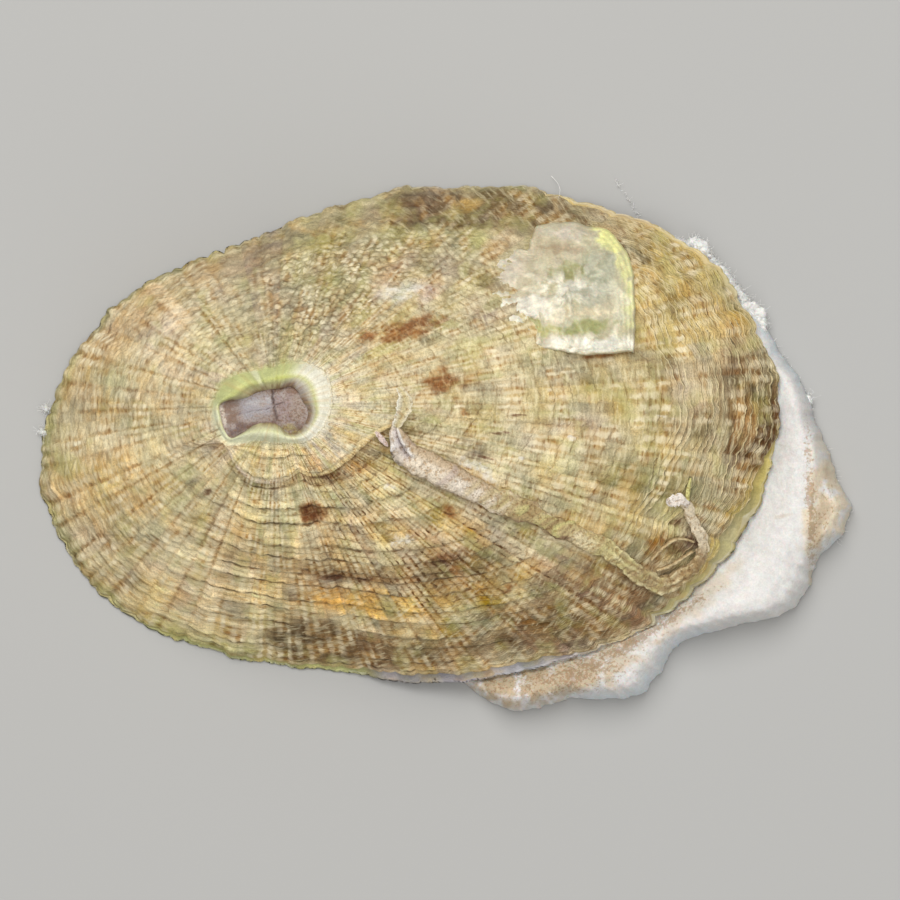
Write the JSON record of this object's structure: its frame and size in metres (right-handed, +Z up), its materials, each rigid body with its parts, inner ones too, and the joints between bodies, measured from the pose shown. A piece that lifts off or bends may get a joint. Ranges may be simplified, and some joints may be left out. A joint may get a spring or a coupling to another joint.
{
  "type": "keyhole limpet shell",
  "caption": "Oval ribbed conical limpet shell with a keyhole at the top, a young oyster scale, a worm tube and a pale crust under its rim.",
  "frame": {"origin": "middle of the footprint, on the surface the shell stands on", "axes": "+X towards the shell's hind end, along its length; +Z up through the keyhole"},
  "size_m": [0.0437, 0.0282, 0.0135],
  "materials": {
    "shell": "matte, ribbed, cream, olive and brown",
    "membrane": "dull grey film",
    "oyster": "satin, pale, green at its edge",
    "worm_tube": "matte chalky, pinkish white to olive",
    "crust": "matte white, tan at its edge"
  },
  "bodies": {
    "root": {"shell": "shell", "keyhole_membrane": "membrane", "young_oyster": "oyster", "worm_tube": "worm_tube", "pale_crust": "crust"}
  },
  "joints": []
}
